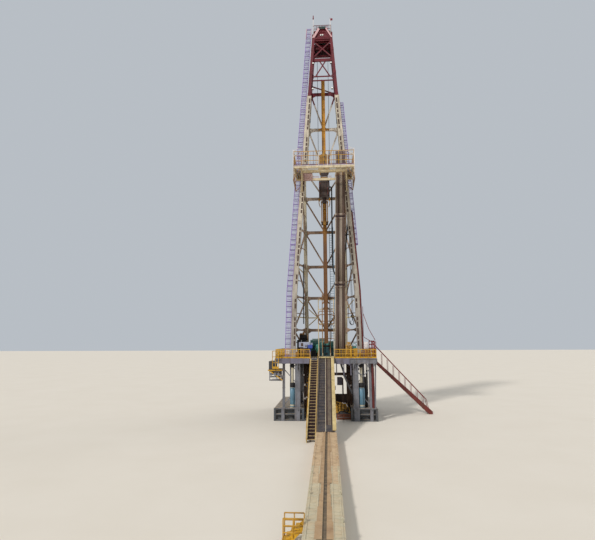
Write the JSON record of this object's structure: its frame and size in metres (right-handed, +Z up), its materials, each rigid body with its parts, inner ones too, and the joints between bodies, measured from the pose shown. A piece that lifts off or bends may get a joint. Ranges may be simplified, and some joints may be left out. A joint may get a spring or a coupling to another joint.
{
  "type": "oil drilling rig, 1:2 scale model",
  "caption": "Land drilling rig with an open lattice mast on a raised floor, travelling top drive, racked pipe, sloping ramp and catwalk.",
  "frame": {"origin": "centre of the well at ground level, at the bottom end of the blowout preventer's bore", "axes": "+Z up, -Y towards the ramp and the catwalk, +X to the right seen from the ramp"},
  "size_m": [10.6332, 23.98, 28.95],
  "materials": {
    "base_grey": "weathered paint",
    "column_grey": "weathered paint",
    "rod_cream": "weathered paint",
    "stack_brown": "weathered paint",
    "table_green": "weathered paint",
    "worn_steel": "weathered paint",
    "rail_yellow": "weathered paint",
    "winch_teal": "weathered paint",
    "setback_steel": "weathered paint",
    "ramp_steel": "weathered paint",
    "stair_yellow": "weathered paint",
    "tread_grating": "weathered paint",
    "deck_rust": "weathered paint",
    "deck_dusty": "weathered paint",
    "cabin_dark": "weathered paint",
    "stair_red": "weathered paint",
    "mast_cream": "weathered paint",
    "rear_green": "weathered paint",
    "brace_brown": "weathered paint",
    "beam_white": "weathered paint",
    "mast_red": "weathered paint",
    "sheave_green": "weathered paint",
    "guide_orange": "weathered paint",
    "board_cream": "weathered paint",
    "pipe_brown": "weathered paint",
    "ladder_plum": "weathered paint",
    "pipe_red": "weathered paint",
    "wire_rope": "weathered paint",
    "block_yellow": "weathered paint",
    "drive_dark": "weathered paint"
  },
  "bodies": {
    "rig": {"base_box_left": "base_grey", "base_box_right": "base_grey", "columns_left": "column_grey", "columns_right": "column_grey", "raising_cylinders": "rod_cream", "substructure_braces": "column_grey", "blowout_preventer": "stack_brown", "drill_floor": "column_grey", "rotary_casing": "table_green", "floor_railings": "rail_yellow", "drawworks": "winch_teal", "pipe_setback": "setback_steel", "v_door_ramp": "ramp_steel", "ramp_stair_sides": "stair_yellow", "ramp_stair_treads": "tread_grating", "catwalk_rear": "deck_rust", "catwalk_front": "deck_dusty", "catwalk_steps": "rail_yellow", "side_platform": "rail_yellow", "side_cabin": "cabin_dark", "outer_stair": "stair_red", "front_leg_left": "mast_cream", "front_leg_right": "mast_cream", "rear_legs": "rear_green", "side_bracing_left": "brace_brown", "side_bracing_right": "brace_brown", "rear_bracing": "beam_white", "mast_top_section": "mast_red", "crown_frame": "mast_red", "crown_platform": "mast_red", "guide_rail": "guide_orange", "guide_frame": "board_cream", "racking_board": "board_cream", "board_fingers": "rail_yellow", "board_railing": "rail_yellow", "pipe_stands": "pipe_brown", "ladder_left": "ladder_plum", "ladder_right": "ladder_plum", "standpipe": "pipe_red", "drill_lines": "wire_rope"},
    "turntable_ring": {"turntable": "worn_steel"},
    "crown_wheels": {"crown_sheaves": "sheave_green"},
    "travelling": {"travelling_block": "block_yellow", "top_drive": "drive_dark"},
    "links": {"elevator_links": "block_yellow"}
  },
  "joints": [
    {"name": "hoist", "type": "slide", "parent": "rig", "child": "travelling", "axis": [0, 0, 1], "range_m": [-8.2, 8.1], "deforming": ["drill_lines"]},
    {"name": "link_tilt", "type": "hinge", "parent": "travelling", "child": "links", "pos_m": [0, 0, 14.7], "axis": [1, 0, 0], "range_deg": [-20, 0]},
    {"name": "table_turn", "type": "hinge", "parent": "rig", "child": "turntable_ring", "pos_m": [0, 0, 3.75], "axis": [0, 0, 1], "continuous": true},
    {"name": "crown_spin", "type": "hinge", "parent": "rig", "child": "crown_wheels", "pos_m": [0, 0, 27.75], "axis": [0, 1, 0], "continuous": true}
  ]
}
